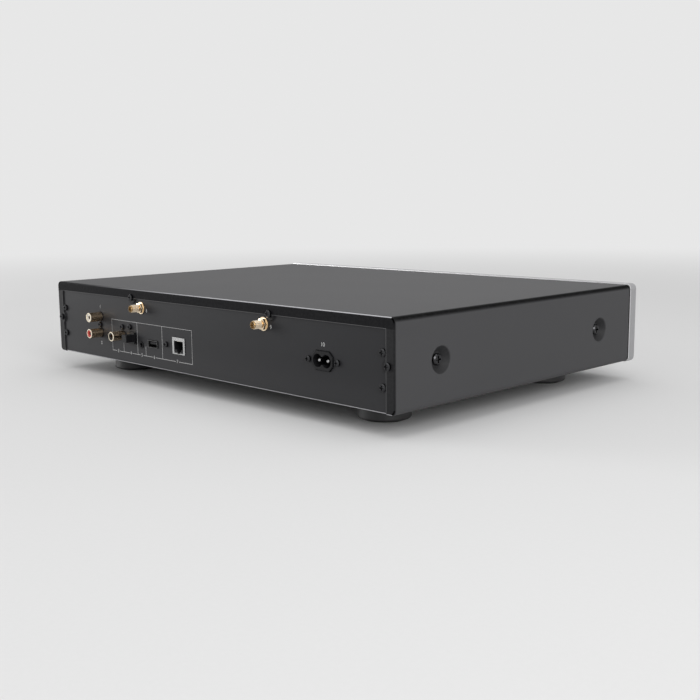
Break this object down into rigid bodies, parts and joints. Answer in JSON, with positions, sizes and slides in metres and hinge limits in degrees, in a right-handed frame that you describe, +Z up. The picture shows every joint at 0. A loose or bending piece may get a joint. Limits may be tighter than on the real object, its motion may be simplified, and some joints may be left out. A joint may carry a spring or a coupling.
{
  "type": "network music streamer",
  "caption": "Full-width network audio streamer in a folded steel case on round feet, with phono, optical, USB, network and antenna sockets behind.",
  "frame": {"origin": "bottom centre of the whole part, on the plane that the feet stand on", "axes": "+X to the right seen from the front, +Y towards the rear sockets, +Z up; the front panel faces -Y"},
  "size_m": [0.43, 0.318, 0.0828],
  "materials": {
    "cover_paint": "satin dark grey powder coat",
    "rear_paint": "satin black coat with fine pale print",
    "panel_metal": "fine satin anodised, light grey",
    "button_metal": "fine satin anodised, light grey",
    "zinc_steel": "zinc plated sheet",
    "black_screw_steel": "black zinc, slightly shiny",
    "bright_screw_steel": "bright zinc",
    "gold_plating": "gold plated, bright",
    "tin_plating": "bright tin plated sheet",
    "black_plastic": "fine matt",
    "foot_plastic": "fine matt, dark grey",
    "white_plastic": "smooth",
    "red_plastic": "smooth",
    "pad_rubber": "matt",
    "board_laminate": "solder resist, semi gloss",
    "winding_tape": "smooth tape",
    "clear_plastic": "clear light guide",
    "lead_insulation": "smooth insulation",
    "ribbon_insulation": "smooth grey insulation"
  },
  "bodies": {
    "case": {"top_cover": "cover_paint", "chassis_tray": "rear_paint", "side_rail_left": "zinc_steel", "side_rail_right": "zinc_steel", "front_bracket": "zinc_steel", "front_panel": "panel_metal", "foot_front_left": "foot_plastic", "foot_front_right": "foot_plastic", "foot_rear_left": "foot_plastic", "foot_rear_right": "foot_plastic", "foot_pads": "pad_rubber", "foot_screws": "bright_screw_steel", "cover_side_screws": "black_screw_steel", "cover_rear_screws": "black_screw_steel", "rear_panel_screws": "black_screw_steel", "connector_screws": "black_screw_steel", "front_panel_screws": "bright_screw_steel", "rca_pair_housing": "black_plastic", "rca_pair_contacts": "gold_plating", "right_channel_insulator": "red_plastic", "left_channel_insulator": "white_plastic", "coax_jack_housing": "black_plastic", "coax_jack_contacts": "gold_plating", "coax_jack_insulator": "black_plastic", "optical_socket": "black_plastic", "service_jack": "black_plastic", "usb_socket_shell": "tin_plating", "usb_socket_tongue": "black_plastic", "ethernet_jack_shield": "tin_plating", "ethernet_jack_insert": "black_plastic", "antenna_socket_left": "gold_plating", "antenna_socket_right": "gold_plating", "antenna_washers": "gold_plating", "antenna_nuts": "gold_plating", "mains_inlet": "black_plastic", "mains_inlet_pins": "tin_plating", "main_board": "board_laminate", "network_module": "tin_plating", "power_board": "board_laminate", "power_transformer": "winding_tape", "power_capacitors": "black_plastic", "board_standoffs": "zinc_steel", "board_screws": "bright_screw_steel", "button_board": "board_laminate", "switch_bodies": "black_plastic", "status_light_pipe": "clear_plastic", "ribbon_cable": "ribbon_insulation", "antenna_leads": "lead_insulation", "mains_leads": "lead_insulation"},
    "standby_key": {"standby_button": "button_metal", "switch_plunger_0": "black_plastic"},
    "preset_key_1": {"preset_button_1": "button_metal", "switch_plunger_1": "black_plastic"},
    "preset_key_2": {"preset_button_2": "button_metal", "switch_plunger_2": "black_plastic"},
    "preset_key_3": {"preset_button_3": "button_metal", "switch_plunger_3": "black_plastic"},
    "preset_key_4": {"preset_button_4": "button_metal", "switch_plunger_4": "black_plastic"},
    "dust_plug": {"optical_dust_plug": "black_plastic"}
  },
  "joints": [
    {"name": "standby_press", "type": "slide", "parent": "case", "child": "standby_key", "axis": [0, 1, 0], "range_m": [0, 0.0006], "stiffness_N_per_m": 1000, "springref_m": -0.0005},
    {"name": "preset_1_press", "type": "slide", "parent": "case", "child": "preset_key_1", "axis": [0, 1, 0], "range_m": [0, 0.0006], "stiffness_N_per_m": 1000, "springref_m": -0.0005},
    {"name": "preset_2_press", "type": "slide", "parent": "case", "child": "preset_key_2", "axis": [0, 1, 0], "range_m": [0, 0.0006], "stiffness_N_per_m": 1000, "springref_m": -0.0005},
    {"name": "preset_3_press", "type": "slide", "parent": "case", "child": "preset_key_3", "axis": [0, 1, 0], "range_m": [0, 0.0006], "stiffness_N_per_m": 1000, "springref_m": -0.0005},
    {"name": "preset_4_press", "type": "slide", "parent": "case", "child": "preset_key_4", "axis": [0, 1, 0], "range_m": [0, 0.0006], "stiffness_N_per_m": 1000, "springref_m": -0.0005},
    {"name": "dust_plug_pull", "type": "slide", "parent": "case", "child": "dust_plug", "axis": [0, 1, 0], "range_m": [0, 0.025]}
  ]
}
